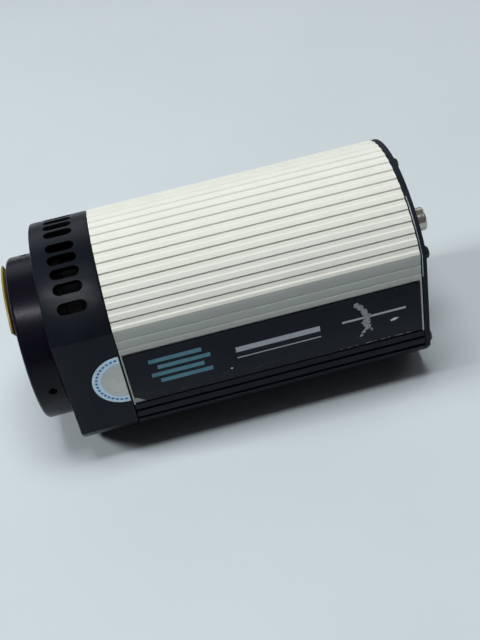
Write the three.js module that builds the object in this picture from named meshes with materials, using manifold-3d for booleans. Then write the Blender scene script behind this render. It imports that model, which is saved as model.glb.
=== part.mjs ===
// Cooled camera head: a ribbed two-part shell on a turned, slotted front ring,
// with a round nose, a cooled sensor chamber, a fan and a rear connector plate.
// Millimetres. X runs from the nose to the rear plate, Y across, Z up.
import * as THREE from 'three';
import { mergeVertices } from 'three/addons/utils/BufferGeometryUtils.js';
import Module from 'manifold-3d';

const wasm = await Module();
wasm.setup();

// Driving dimensions. The optical axis is Y = 0, Z = 0 and the joint between
// the front ring and the shells is X = 0 until everything is placed.
const BODY_R = 45;        // radius of the round cross-section
const FLAT_Y = 38.2;      // half width across the side flats
const BASE_Z = -38.5;     // underside flat
const WALL = 3;           // shell and ring wall
const GAP = 0.3;          // clearance between neighbouring pieces
const RING_L = 23.4;      // slotted front ring
const SHELL_L = 119.9;    // ribbed shells
const PLATE_T = 2.2;      // rear plate
const NOSE_R = 33.7;      // nose barrel
const NOSE_L = 12.6;
const SPLIT_Z = -14.9;    // where the upper shell meets the lower one
const RIB_PITCH = 6.02;   // degrees between the grooves of the upper shell
const FIRST_GROOVE = 34.62; // counted in degrees from +Y
const GROOVES = 19;
const GROOVE_W = 0.7;
const GROOVE_D = 1.1;
const STEP_IN = 0.3;      // how far each rib steps in along its middle
const STEP_AFTER = 2.65;  // degrees from each groove to the step beside it
const FLAT_STEP = 0.5;    // the same step on the side flats
const LABEL_TOP = 12.1;   // upper edge of the label recess
const FILM_TOP = 10.85;
const LABEL_DEPTH = 0.9;
const LABEL_T = 0.5;
const END_STRIP = 0.5;    // shell left at each end of the label recess
const SLOT_L = 11.4;      // air slots of the front ring
const SLOT_W = 4.6;
const SLOT_X = -11.85;
const SLOT_CENTRE = 91.5; // degrees
const SLOT_OFFSETS = [5.6, 13.6, 21.8, 30, 39.8];
const APERTURE_R = 12.7;  // lens thread in the nose
const PAD_T = 3;          // tripod pad below the base
const FAN_HALF = 28;
const FAN_BORE = 26.5;
const SOCKET_Z = 10.5;    // round signal socket on the rear plate
const SOCKET_L = 11.4;

const NOSE_FRONT = -RING_L - NOSE_L;
const SHELL_X = GAP;
const PLATE_X = SHELL_L + GAP;
const PLATE_END = PLATE_X + PLATE_T;
const COVER_FRONT = NOSE_FRONT - GAP - 2;
const COVER_T = 0.8;
const SOCKET_END = PLATE_END + SOCKET_L;
const PAD_BOTTOM = BASE_Z - GAP - PAD_T;
const CENTRE_X = (COVER_FRONT + SOCKET_END) / 2;

const rad = THREE.MathUtils.degToRad;

function paint(color, roughness, metalness = 0) {
  return new THREE.MeshStandardMaterial({ color, roughness, metalness });
}

const CREAM = paint(0xdedfd6, 0.5);
const BLACK_PAINT = paint(0x23262c, 0.55);
const BLACK_ANODISED = paint(0x1b1c22, 0.4, 0.6);
const NICKEL = paint(0xb9b6ad, 0.3, 1);
const STEEL = paint(0x8d8f92, 0.35, 1);
const BLACK_STEEL = paint(0x2a2b2e, 0.4, 0.8);
const BRASS = paint(0xb08d4a, 0.35, 1);
const COPPER = paint(0xb06a45, 0.35, 1);
const ALUMINIUM = paint(0xa9abad, 0.4, 1);
const FILM = paint(0x262a33, 0.35);
const YELLOW = paint(0xc9a21a, 0.5);
const SEAL = paint(0xbfc3cb, 0.4);
const RUBBER = paint(0x161616, 0.85);
const GLASS = paint(0xa8c4c8, 0.05);
const CERAMIC = paint(0xd8d4ca, 0.6);
const SILICON = paint(0x35324a, 0.2, 0.4);
const BOARD = paint(0x1e4a30, 0.55);
const PLASTIC = paint(0x1c1d1f, 0.6);
const PTFE = paint(0xe8e6df, 0.6);
const LAMP = paint(0x4fae5b, 0.3);
const AMBER = paint(0xb5752c, 0.5);

// ---- Shape helpers ----------------------------------------------------

// A closed solid, facing outwards, from any three.js geometry.
function solid(geometry) {
  const bare = geometry.clone();
  bare.deleteAttribute('normal');
  bare.deleteAttribute('uv');
  const welded = mergeVertices(bare, 1e-4);
  const points = welded.attributes.position.array;
  const triangles = Array.from(welded.index.array);
  if (signedVolume(points, triangles) < 0) {
    for (let i = 0; i < triangles.length; i += 3) {
      [triangles[i], triangles[i + 1]] = [triangles[i + 1], triangles[i]];
    }
  }
  const mesh = new wasm.Mesh({
    numProp: 3,
    vertProperties: new Float32Array(points),
    triVerts: new Uint32Array(triangles),
  });
  return new wasm.Manifold(mesh);
}

function signedVolume(points, triangles) {
  const [a, b, c] = [new THREE.Vector3(), new THREE.Vector3(), new THREE.Vector3()];
  let volume = 0;
  for (let i = 0; i < triangles.length; i += 3) {
    a.fromArray(points, 3 * triangles[i]);
    b.fromArray(points, 3 * triangles[i + 1]);
    c.fromArray(points, 3 * triangles[i + 2]);
    volume += a.dot(b.cross(c));
  }
  return volume;
}

function join(...pieces) {
  return pieces.reduce((whole, piece) => whole.add(piece));
}

function cut(base, ...tools) {
  return tools.reduce((rest, tool) => rest.subtract(tool), base);
}

// An outline in the Y-Z plane pushed from x0 to x1, with an optional small bevel.
function pushed(shape, x0, x1, bevel = 0, segments = 24) {
  const geometry = new THREE.ExtrudeGeometry(shape, {
    depth: x1 - x0 - 2 * bevel,
    curveSegments: segments,
    bevelEnabled: bevel > 0,
    bevelThickness: bevel,
    bevelSize: bevel,
    bevelOffset: -bevel,
    bevelSegments: 1,
  });
  const basis = new THREE.Matrix4().makeBasis(
    new THREE.Vector3(0, 1, 0),
    new THREE.Vector3(0, 0, 1),
    new THREE.Vector3(1, 0, 0),
  );
  geometry.applyMatrix4(basis);
  geometry.translate(x0 + bevel, 0, 0);
  return solid(geometry);
}

// A turned piece: [x, radius] points around the X axis. Points that leave the
// axis make a solid; a closed loop of points makes a ring.
function turned(profile, segments = 32, y = 0, z = 0) {
  const points = profile.map(([x, r]) => new THREE.Vector2(r, x));
  const first = profile[0];
  const last = profile[profile.length - 1];
  if (first[1] > 0 || last[1] > 0) {
    points.push(points[0].clone());
  }
  const geometry = new THREE.LatheGeometry(points, segments);
  geometry.rotateZ(-Math.PI / 2);
  geometry.translate(0, y, z);
  return solid(geometry);
}

// A plain rod along X.
function rod(x0, x1, r, y = 0, z = 0, segments = 24) {
  return turned([[x0, 0], [x0, r], [x1, r], [x1, 0]], segments, y, z);
}

function tube(x0, x1, inner, outer, y = 0, z = 0, segments = 32) {
  return turned([[x0, inner], [x0, outer], [x1, outer], [x1, inner]], segments, y, z);
}

// A box given by its lower and upper corners.
function block(x0, x1, y0, y1, z0, z1) {
  const geometry = new THREE.BoxGeometry(x1 - x0, y1 - y0, z1 - z0);
  geometry.translate((x0 + x1) / 2, (y0 + y1) / 2, (z0 + z1) / 2);
  return solid(geometry);
}

// An upright post along Z.
function post(x, y, z0, z1, r, segments = 20) {
  const geometry = new THREE.CylinderGeometry(r, r, z1 - z0, segments);
  geometry.rotateX(Math.PI / 2);
  geometry.translate(x, y, (z0 + z1) / 2);
  return solid(geometry);
}

// A round-ended slot outline.
function slotOutline(length, width, segments = 6) {
  const shape = new THREE.Shape();
  const half = (length - width) / 2;
  const ends = [...arc(width / 2, -90, 90, segments).map(([x, y]) => [x + half, y]),
    ...arc(width / 2, 90, 270, segments).map(([x, y]) => [x - half, y])];
  shape.setFromPoints(ends.map(([x, y]) => new THREE.Vector2(x, y)));
  return shape;
}

// A point on a circle at an angle in degrees.
function polar(r, degrees) {
  return [r * Math.cos(rad(degrees)), r * Math.sin(rad(degrees))];
}

// Points on a circle from one angle to another, in degrees.
function arc(r, from, to, segments) {
  const points = [];
  for (let i = 0; i <= segments; i += 1) {
    points.push(polar(r, from + ((to - from) * i) / segments));
  }
  return points;
}

function outline(points) {
  return new THREE.Shape(points.map(([x, y]) => new THREE.Vector2(x, y)));
}

// The body's cross-section: a circle with two side flats and a base flat.
function bodyOutline(inset = 0) {
  const r = BODY_R - inset;
  const side = THREE.MathUtils.radToDeg(Math.acos((FLAT_Y - inset) / r));
  const foot = THREE.MathUtils.radToDeg(Math.acos((-BASE_Z - inset) / r));
  return outline([
    ...arc(r, side, 180 - side, 28),
    ...arc(r, 180 + side, 270 - foot, 6),
    ...arc(r, 270 + foot, 360 - side, 6),
  ]);
}

// A socket-head screw along X, head towards -X or +X, with a hexagon recess.
function screw(x, y, z, headR, headL, shankR, shankL, towards) {
  const s = towards;
  const body = turned([[0, 0], [0, headR * 0.86], [-s * 0.35, headR], [-s * headL, headR],
    [-s * headL, shankR], [-s * (headL + shankL), shankR], [-s * (headL + shankL), 0]], 14);
  const key = rod(-s * headL * 0.55, s * 0.2, headR * 0.5, 0, 0, 6);
  return cut(body, key).translate([x, y, z]);
}

// ---- Assembly ---------------------------------------------------------

const camera = new THREE.Group();
camera.name = 'cooled_astronomy_camera';

function add(name, body, material) {
  const placed = body.translate([-CENTRE_X, 0, -PAD_BOTTOM]);
  const data = placed.getMesh();
  const geometry = new THREE.BufferGeometry();
  geometry.setAttribute('position', new THREE.BufferAttribute(new Float32Array(data.vertProperties), 3));
  geometry.setIndex(Array.from(data.triVerts));
  geometry.computeVertexNormals();
  const mesh = new THREE.Mesh(geometry, material.clone());
  mesh.name = name;
  camera.add(mesh);
}

// ---- Nose ---------------------------------------------------------------

const SET_SCREW_X = -28.7;
const SET_SCREW_ANGLES = [62, 182, 302];

// Turns a piece made along +X so that it points outwards at an angle around X.
function aimed(piece, angle, x) {
  return piece.rotate([0, -90, 0]).rotate([angle - 90, 0, 0]).translate([x, 0, 0]);
}

function noseBarrel() {
  const inner = APERTURE_R + 3.6;
  const barrel = turned([
    [NOSE_FRONT, inner], [NOSE_FRONT, NOSE_R - 1.5], [NOSE_FRONT + 0.45, NOSE_R - 0.45],
    [NOSE_FRONT + 1.5, NOSE_R], [-RING_L - GAP, NOSE_R], [-RING_L - GAP, 28.3],
    [-15.5, 28.3], [-15.5, 24], [-31, 24], [-31, inner],
  ], 48);
  const holes = SET_SCREW_ANGLES.map((angle) => aimed(rod(22, 36, 1.7, 0, 0, 12), angle, SET_SCREW_X));
  return cut(barrel, ...holes);
}

function mountInsert() {
  const inner = APERTURE_R;
  return turned([[NOSE_FRONT + 0.1, inner + 0.5], [NOSE_FRONT + 0.1, 16], [-30.7, 16],
    [-30.7, 19], [-28.7, 19], [-28.7, inner], [NOSE_FRONT + 0.6, inner]], 36);
}

// The cover: a thin flange with a finger grip that stands up behind the nose's
// rim, a thicker disc over the lens thread, and a plug that fits inside it.
const GRIP_R = 31;
const GRIP_CENTRE = [3.6, -0.4];

function gripOutline() {
  const rim = arc(GRIP_R, 72, 138, 14).map(([y, z]) => [y + GRIP_CENTRE[0], z + GRIP_CENTRE[1]]);
  return outline([[18.4, 21.6], ...rim, [-11.5, 11.8], [0, 0], [11, 11]]);
}

function apertureCover() {
  const seat = NOSE_FRONT - GAP;
  const flange = pushed(gripOutline(), COVER_FRONT, COVER_FRONT + COVER_T);
  const disc = rod(COVER_FRONT, seat, 15.6, 0, 0, 32);
  const plug = tube(seat - 0.5, NOSE_FRONT + 3, 9, 12.2, 0, 0, 28);
  return join(flange, disc, plug);
}

add('nose_barrel', noseBarrel(), BLACK_ANODISED);
add('lens_mount_insert', mountInsert(), STEEL);
SET_SCREW_ANGLES.forEach((angle, i) => {
  const pin = cut(rod(26, 33, 1.4, 0, 0, 12), rod(30.5, 34, 0.75, 0, 0, 6));
  add(`nose_set_screw_${i + 1}`, aimed(pin, angle, SET_SCREW_X), BLACK_STEEL);
});
add('aperture_cover', apertureCover(), YELLOW);

// ---- Front ring -----------------------------------------------------------

// One air slot, cut straight in towards the axis.
function airSlot(angle) {
  const geometry = new THREE.ExtrudeGeometry(slotOutline(SLOT_L, SLOT_W), {
    depth: 14,
    bevelEnabled: false,
  });
  const out = new THREE.Vector3(0, Math.cos(rad(angle)), Math.sin(rad(angle)));
  const along = new THREE.Vector3(1, 0, 0);
  const across = new THREE.Vector3().crossVectors(out, along);
  geometry.applyMatrix4(new THREE.Matrix4().makeBasis(along, across, out));
  geometry.translate(SLOT_X, 34 * out.y, 34 * out.z);
  return solid(geometry);
}

function ventRing() {
  const body = pushed(bodyOutline(), -RING_L, 0, 0.6);
  const hollow = pushed(bodyOutline(WALL), -RING_L + 4, 1);
  const mouth = rod(-RING_L - 1, -RING_L + 5, 28.6, 0, 0, 36);
  const slots = SLOT_OFFSETS.flatMap((offset) => [
    airSlot(SLOT_CENTRE + offset),
    airSlot(SLOT_CENTRE - offset),
  ]);
  return cut(body, hollow, mouth, ...slots);
}

// The round seal on the ring's flat, cut off square where the shell begins.
function sealSticker() {
  const geometry = new THREE.CylinderGeometry(11.95, 11.95, 0.3, 48);
  geometry.translate(-1.1, -FLAT_Y - 0.2, 0.1);
  return cut(solid(geometry), block(-0.5, 20, -50, -30, -20, 20));
}

add('front_vent_ring', ventRing(), BLACK_ANODISED);
add('seal_sticker', sealSticker(), SEAL);

// ---- Shells -----------------------------------------------------------------

// Six screws hold the rear plate; the shells carry a boss for each.
const REAR_SCREW_R = 40.3;
const REAR_SCREWS = [32, 90, 148, 215, 325].map((angle) => [
  REAR_SCREW_R * Math.cos(rad(angle)), REAR_SCREW_R * Math.sin(rad(angle))]);
REAR_SCREWS.push([0, -34.2]);

// The outer line of the upper shell. Between two grooves the wall steps in once,
// always in the same direction, like a sawtooth. On the flats it leans out
// again like overlapping boards.
function ribbedLine() {
  const flat = [[FLAT_Y, SPLIT_Z], [FLAT_Y, 14.3], [FLAT_Y - FLAT_STEP, 14.7], [FLAT_Y, 18.4],
    [FLAT_Y - FLAT_STEP, 18.8], [FLAT_Y, 22.5]];
  const half = THREE.MathUtils.radToDeg(GROOVE_W / 2 / BODY_R);
  const ribs = [];
  for (let i = 0; i < GROOVES; i += 1) {
    const groove = FIRST_GROOVE + RIB_PITCH * i;
    const step = groove + STEP_AFTER;
    ribs.push(
      polar(BODY_R, groove - half),
      polar(BODY_R - GROOVE_D, groove - half),
      polar(BODY_R - GROOVE_D, groove + half),
      polar(BODY_R - STEP_IN, groove + half),
      polar(BODY_R - STEP_IN, step - 0.4),
      polar(BODY_R, step + 0.4),
    );
  }
  const otherFlat = flat.map(([y, z]) => [-y, z]).reverse();
  return [...flat, ...ribs, ...otherFlat];
}

function upperShell() {
  const innerR = BODY_R - WALL;
  const side = THREE.MathUtils.radToDeg(Math.acos((FLAT_Y - WALL) / innerR));
  const inside = [[-FLAT_Y + WALL, SPLIT_Z], ...arc(innerR, 180 - side, side, 26),
    [FLAT_Y - WALL, SPLIT_Z]];
  let shell = pushed(outline([...ribbedLine(), ...inside]), SHELL_X, SHELL_L);
  for (const [y, z] of REAR_SCREWS.slice(0, 3)) {
    shell = shell.add(rod(SHELL_L - 14, SHELL_L, 3.2, y, z, 14));
    shell = shell.subtract(rod(SHELL_L - 10, SHELL_L + 1, 1.6, y, z, 10));
  }
  const x0 = SHELL_X + END_STRIP;
  const x1 = SHELL_L - END_STRIP;
  const depth = FLAT_Y - LABEL_DEPTH;
  return cut(shell, block(x0, x1, depth, 50, SPLIT_Z - 5, LABEL_TOP),
    block(x0, x1, -50, -depth, SPLIT_Z - 5, LABEL_TOP));
}

function lowerShell() {
  const top = SPLIT_Z - GAP;
  const outer = cut(pushed(bodyOutline(), SHELL_X, SHELL_L), block(-1, SHELL_L + 1, -50, 50, top, 50));
  let shell = cut(outer, pushed(bodyOutline(WALL), SHELL_X - 1, SHELL_L + 1));
  for (const side of [-1, 1]) {
    for (const z of [-18.45, -22.65]) {
      const wall = side * FLAT_Y;
      const [y0, y1] = [Math.min(wall, wall - side) - 0.01, Math.max(wall, wall - side) + 0.01];
      shell = shell.subtract(block(-1, SHELL_L + 1, y0, y1, z - 0.6, z + 0.6));
    }
  }
  for (const [y, z] of REAR_SCREWS.slice(3)) {
    shell = shell.add(rod(SHELL_L - 14, SHELL_L, 3.2, y, z, 14));
    shell = shell.subtract(rod(SHELL_L - 10, SHELL_L + 1, 1.6, y, z, 10));
  }
  shell = cut(shell, post(60, 0, BASE_Z - 1, BASE_Z + WALL + 1, 6.3, 24));
  for (const x of PAD_SCREWS) {
    shell = shell.subtract(post(x, 0, BASE_Z - 1, BASE_Z + WALL + 1, 1.7, 16));
  }
  return shell;
}

// The dark film on each side flat.
function sideLabel(side) {
  const x0 = SHELL_X + END_STRIP + 0.2;
  const x1 = SHELL_L - END_STRIP - 0.2;
  const floor = FLAT_Y - LABEL_DEPTH + 0.15;
  const [y0, y1] = side > 0 ? [floor, floor + LABEL_T] : [-floor - LABEL_T, -floor];
  return block(x0, x1, y0, y1, SPLIT_Z + 0.3, FILM_TOP);
}

const PAD_SCREWS = [44, 76];

add('upper_shell', upperShell(), CREAM);
add('lower_shell', lowerShell(), BLACK_PAINT);
add('side_label_left', sideLabel(-1), FILM);
add('side_label_right', sideLabel(1), FILM);

// ---- Tripod pad ---------------------------------------------------------------

function tripodPad() {
  const corners = [[38, -14], [41, -17], [79, -17], [82, -14], [82, 14], [79, 17], [41, 17], [38, 14]];
  const geometry = new THREE.ExtrudeGeometry(outline(corners), { depth: PAD_T, bevelEnabled: false });
  geometry.translate(0, 0, PAD_BOTTOM);
  const holes = PAD_SCREWS.flatMap((x) => [
    post(x, 0, PAD_BOTTOM - 1, BASE_Z, 1.7, 12),
    post(x, 0, PAD_BOTTOM - 1, PAD_BOTTOM + 1.8, 3.2, 16),
  ]);
  return cut(solid(geometry), post(60, 0, PAD_BOTTOM - 1, BASE_Z, 6.3, 24), ...holes);
}

// The threaded bush: a flange inside the shell, its sleeve down through the pad.
function tripodBush() {
  const flange = post(60, 0, BASE_Z + WALL + GAP, BASE_Z + WALL + 2.8, 9, 28);
  const sleeve = post(60, 0, PAD_BOTTOM + 0.4, BASE_Z + WALL + 2, 6, 28);
  return cut(join(flange, sleeve), post(60, 0, PAD_BOTTOM - 1, BASE_Z + WALL + 1.5, 3.2, 20));
}

add('tripod_pad', tripodPad(), BLACK_ANODISED);
add('tripod_bush', tripodBush(), BRASS);
PAD_SCREWS.forEach((x, i) => {
  const body = screw(0, 0, 0, 2.9, 1.5, 1.4, 6, -1).rotate([0, -90, 0]);
  add(`tripod_pad_screw_${i + 1}`, body.translate([x, 0, PAD_BOTTOM + 0.2]), STEEL);
});

// ---- Rear plate -----------------------------------------------------------------

const DATA_SOCKETS = [-19, 19];
const DATA_Z = -3;
const POWER_Z = -5;
const LAMP_Z = 23.5;

function rearPlate() {
  const plate = pushed(bodyOutline(), PLATE_X, PLATE_END, 0.5);
  const holes = [rod(PLATE_X - 1, PLATE_END + 1, 5, 0, SOCKET_Z),
    rod(PLATE_X - 1, PLATE_END + 1, 4.8, 0, POWER_Z),
    rod(PLATE_X - 1, PLATE_END + 1, 1.7, 0, LAMP_Z, 16)];
  for (const [y, z] of REAR_SCREWS) {
    holes.push(rod(PLATE_X - 1, PLATE_END + 1, 1.8, y, z, 10));
  }
  for (const y of DATA_SOCKETS) {
    holes.push(block(PLATE_X - 1, PLATE_END + 1, y - 6.8, y + 6.8, DATA_Z - 3.8, DATA_Z + 3.8));
  }
  for (let i = -4; i <= 4; i += 1) {
    const slot = pushed(slotOutline(12, 2.6, 4), PLATE_X - 1, PLATE_END + 1);
    holes.push(slot.rotate([90, 0, 0]).translate([0, 5.2 * i, -21.5]));
  }
  return cut(plate, ...holes);
}

add('rear_plate', rearPlate(), BLACK_PAINT);
REAR_SCREWS.forEach(([y, z], i) => {
  const head = PLATE_END + GAP + 1.6;
  add(`rear_plate_screw_${i + 1}`, screw(head, y, z, 2.5, 1.6, 1.3, 9, 1), BLACK_STEEL);
});

// ---- Rear connectors --------------------------------------------------------------

function signalSocketBody() {
  const end = SOCKET_END;
  const base = PLATE_END + GAP;
  const profile = [[112.5, 1.9], [112.5, 4.7], [base, 4.7], [base, 6.4], [base + 1.6, 6.4], [base + 1.6, 5.1],
    [end - 0.4, 5.1], [end, 4.7], [end, 4.1], [base + 2.4, 4.1], [base + 2.4, 1.9]];
  const lug = new THREE.CylinderGeometry(1, 1, 11.6, 12);
  lug.translate(end - 4.4, 0, 0);
  const barrel = join(turned(profile, 28), cut(solid(lug), rod(end - 8, end + 1, 4.3, 0, 0, 20)));
  return barrel.translate([0, 0, SOCKET_Z]);
}

function dataSocketShell(y) {
  const x0 = PLATE_X - 11;
  const x1 = PLATE_END + 0.8;
  const shell = block(x0, x1, y - 6.5, y + 6.5, DATA_Z - 3.5, DATA_Z + 3.5);
  return cut(shell, block(x0 + 1.2, x1 + 1, y - 5.9, y + 5.9, DATA_Z - 2.9, DATA_Z + 2.9));
}

function powerSocketBody() {
  const x1 = PLATE_END + GAP + 1.8;
  return turned([[110, 0], [110, 4.5], [PLATE_END + GAP, 4.5], [PLATE_END + GAP, 6.2], [x1, 6.2],
    [x1, 3.4], [112, 3.4], [112, 0]], 24).translate([0, 0, POWER_Z]);
}

add('signal_socket_body', signalSocketBody(), NICKEL);
add('signal_socket_insulator', tube(PLATE_END + 2.9, SOCKET_END - 2.6, 1.1, 3.8, 0, SOCKET_Z, 28), PTFE);
add('signal_socket_contact', rod(112, SOCKET_END - 1.6, 0.8, 0, SOCKET_Z, 16), BRASS);
add('signal_socket_nut', cut(rod(PLATE_X - 3, PLATE_X - GAP, 7.2, 0, SOCKET_Z, 6),
  rod(PLATE_X - 4, PLATE_X, 5, 0, SOCKET_Z, 24)), NICKEL);
DATA_SOCKETS.forEach((y, i) => {
  add(`data_socket_shell_${i + 1}`, dataSocketShell(y), STEEL);
  add(`data_socket_tongue_${i + 1}`,
    block(PLATE_X - 9.5, PLATE_END - 0.4, y - 4.4, y + 4.4, DATA_Z - 0.9, DATA_Z + 0.9), PLASTIC);
});
add('power_socket_body', powerSocketBody(), PLASTIC);
add('power_socket_pin', rod(112.3, PLATE_END + 0.6, 1, 0, POWER_Z, 16), NICKEL);
add('status_lamp', turned([[PLATE_X - 5, 0], [PLATE_X - 5, 1.4], [PLATE_END + 0.3, 1.4],
  [PLATE_END + 1.1, 0.9], [PLATE_END + 1.3, 0]], 16, 0, LAMP_Z), LAMP);

// ---- Cooled sensor chamber ---------------------------------------------------------

// A tube with a back wall and four lugs that carry it inside the housing.
function sensorChamber() {
  const tubeWall = turned([[-9, 23], [-9, 27], [14, 27], [14, 7.8], [10, 7.8], [10, 23]], 32);
  const lug = block(4, 8, 25, 34.2, -4.5, 4.5);
  const lugs = [45, 135, 225, 315].map((angle) => lug.rotate([angle, 0, 0]));
  return cut(join(tubeWall, ...lugs), post(-3, 0, 22, 30, 2.3, 16));
}

// The ring that closes the front of the chamber and holds the entrance window.
function windowHolder() {
  return turned([[-15.2, 12], [-15.2, 27], [-9.3, 27], [-9.3, 15], [-12.7, 15], [-12.7, 12]], 32);
}

function coldFinger() {
  return join(block(5.5, 17.5, -5.2, 5.2, -5.2, 5.2), block(14.4, 17.5, -13, 13, -13, 13));
}

add('entrance_window', rod(-11.6, -9.6, 14.6, 0, 0, 32), GLASS);
add('window_gasket', tube(-12.5, -11.7, 12.4, 14.6, 0, 0, 28), RUBBER);
add('window_holder', windowHolder(), BLACK_ANODISED);
add('sensor_chamber', sensorChamber(), BLACK_ANODISED);
add('desiccant_plug', post(-3, 0, 23.2, 29.2, 2, 16), STEEL);
add('sensor_glass', block(0, 0.8, -10, 10, -8, 8), GLASS);
add('image_sensor', block(1, 3.4, -13, 13, -10.5, 10.5), SILICON);
add('sensor_board', cut(block(3.6, 5.2, -15.5, 15.5, -15.5, 15.5), rod(3, 6, 2, -13, 0, 12)), BOARD);
add('cold_finger', coldFinger(), COPPER);

// ---- Cooler and fan ------------------------------------------------------------------

function heatSink() {
  const base = block(21.9, 26, -29, 29, -25, 25);
  const fins = [];
  for (let i = -5; i <= 5; i += 1) {
    fins.push(block(25.5, 44, 5.6 * i - 0.8, 5.6 * i + 0.8, -25, 25));
  }
  return join(base, ...fins);
}

function fanFrame() {
  const [x0, x1] = [46, 60];
  const frame = cut(block(x0, x1, -FAN_HALF, FAN_HALF, -FAN_HALF, FAN_HALF),
    rod(x0 - 1, x1 + 1, FAN_BORE, 0, 0, 36));
  const hub = rod(x1 - 2, x1, 10, 0, 0, 28);
  const arms = [45, 135, 225, 315].map((angle) => block(x1 - 2, x1, 9, FAN_BORE + 2, -1.6, 1.6)
    .rotate([angle, 0, 0]));
  return join(frame, hub, ...arms);
}

function fanRotor() {
  const hub = turned([[47.5, 0], [47.5, 9], [48.2, 9.8], [57.6, 9.8], [57.6, 0]], 28);
  const blades = [];
  for (let i = 0; i < 7; i += 1) {
    const blade = block(-4.6, 4.6, 8.5, 25.6, -0.6, 0.6).rotate([0, 38, 0]);
    blades.push(blade.translate([52.6, 0, 0]).rotate([(360 / 7) * i, 0, 0]));
  }
  return join(hub, ...blades);
}

add('peltier_module', block(17.8, 21.6, -15, 15, -15, 15), CERAMIC);
add('heat_sink', heatSink(), ALUMINIUM);
add('fan_frame', fanFrame(), PLASTIC);
add('fan_rotor', fanRotor(), PLASTIC);

// ---- Electronics ------------------------------------------------------------------------

const MAIN_Z = -20;
const STANDOFFS = [[66, -19], [66, 19], [100, -19], [100, 19]];

// A flat ribbon: a line of [x, z] points given a thickness, as wide as asked along Y.
function ribbon(points, thickness, width) {
  const lower = points.map(([x, z]) => [x, z]);
  const upper = points.map(([x, z], i) => {
    const before = points[Math.max(i - 1, 0)];
    const after = points[Math.min(i + 1, points.length - 1)];
    const run = Math.hypot(after[0] - before[0], after[1] - before[1]);
    return [x - (thickness * (after[1] - before[1])) / run, z + (thickness * (after[0] - before[0])) / run];
  });
  const geometry = new THREE.ExtrudeGeometry(outline([...lower, ...upper.reverse()]), {
    depth: width,
    bevelEnabled: false,
  });
  geometry.rotateX(Math.PI / 2);
  geometry.translate(0, width / 2, 0);
  return solid(geometry);
}

function mainBoard() {
  const holes = STANDOFFS.map(([x, y]) => post(x, y, MAIN_Z - 1, MAIN_Z + 3, 1.6, 14));
  return cut(block(63, 108, -30, 30, MAIN_Z, MAIN_Z + 1.6), ...holes);
}

add('main_board', mainBoard(), BOARD);
STANDOFFS.forEach(([x, y], i) => {
  const stem = post(x, y, BASE_Z + WALL + GAP, MAIN_Z - GAP, 2.8, 6);
  add(`board_standoff_${i + 1}`, join(stem, post(x, y, MAIN_Z - 1, MAIN_Z + 3, 1.3, 14)), BRASS);
});
add('main_processor', block(76, 92, -8, 8, MAIN_Z + 1.9, MAIN_Z + 4.1), PLASTIC);
[-15, 0, 15].forEach((y, i) => {
  add(`capacitor_${i + 1}`, post(69.5, y, MAIN_Z + 1.9, MAIN_Z + 12, 3.4, 20), AMBER);
});
add('power_board', block(66, 106, 24, 25.6, MAIN_Z + 1.9, 18), BOARD);
add('power_coil', post(0, 0, 0, 6, 7.5, 28).rotate([90, 0, 0]).translate([84, 23.7, 3]), COPPER);
add('sensor_ribbon', ribbon([[14.5, -19], [17, -19.2], [19.6, -26], [22, -29.4], [24, -30.2], [59, -30.2],
  [61.5, -29.4], [65.5, -21.4], [71, -20.8]], 0.4, 18), AMBER);

export default camera;
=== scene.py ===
"""Looks for the cooled camera head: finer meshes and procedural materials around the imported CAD."""
import math

import bmesh
import bpy
from mathutils import Matrix, Vector, noise


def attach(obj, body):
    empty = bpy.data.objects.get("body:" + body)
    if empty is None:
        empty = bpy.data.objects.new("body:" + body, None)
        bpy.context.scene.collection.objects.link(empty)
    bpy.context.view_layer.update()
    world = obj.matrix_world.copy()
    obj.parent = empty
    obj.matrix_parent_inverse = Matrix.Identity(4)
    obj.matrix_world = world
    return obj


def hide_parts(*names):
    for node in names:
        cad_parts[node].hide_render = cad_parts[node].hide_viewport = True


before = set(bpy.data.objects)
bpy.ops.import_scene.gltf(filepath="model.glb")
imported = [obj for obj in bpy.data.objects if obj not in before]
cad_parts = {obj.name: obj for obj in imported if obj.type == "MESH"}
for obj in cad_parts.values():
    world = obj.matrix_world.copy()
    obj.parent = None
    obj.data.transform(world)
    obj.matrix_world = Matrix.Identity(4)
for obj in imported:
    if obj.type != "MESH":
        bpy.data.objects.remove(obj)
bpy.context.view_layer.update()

# ---- Sizes, in millimetres from the optical axis and the ring-to-shell joint -----------
BODY_R = 45.0
FLAT_Y = 38.2
BASE_Z = -38.5
WALL = 3.0
GAP = 0.3
RING_L = 23.4
SHELL_L = 119.9
PLATE_X = SHELL_L + GAP
PLATE_END = PLATE_X + 2.2
NOSE_R = 33.7
NOSE_FRONT = -36.0
NOSE_SCREW_X = -28.7
NOSE_SCREW_ANGLES = (62, 182, 302)
COVER_FRONT = NOSE_FRONT - GAP - 2.0
SOCKET_END = PLATE_END + 11.4
PAD_BOTTOM = BASE_Z - GAP - 3.0
SPLIT_Z = -14.9
RIB_PITCH = 6.02  # degrees
FIRST_GROOVE = 34.62  # degrees from +Y
STEP_AFTER = 2.65  # degrees from the groove
STEP_IN = 0.36  # depth of the lap between the groove and the step
GROOVES = 19
LABEL_TOP = 12.1
FILM_TOP = 10.85
LABEL_DEPTH = 0.9
FILM_THICK = 0.5
SIDE_GROOVES_Z = (-18.45, -22.65)
END_STRIP = 0.5
COVER_FLANGE = 0.8
SLOT_X = -11.85
SLOT_L = 11.4
SLOT_W = 4.6
SLOT_CENTRE = 91.5
SLOT_OFFSETS = (5.6, 13.6, 21.8, 30.0, 39.8)
SEAL_X = -1.1
SEAL_Z = 0.1
SEAL_CUT = -0.5
SEAL_DASHES = 36
DASH_RING_R = 10.3
TRIPOD_X = 60
PAD_SCREWS = (44, 76)
BUSH_HOLE_R = 6.3
PAD_SCREW_HOLE_R = 1.7
DATA_SOCKETS = (-19, 19)
SOCKET_Z = 10.5
DATA_Z = -3.0
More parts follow.
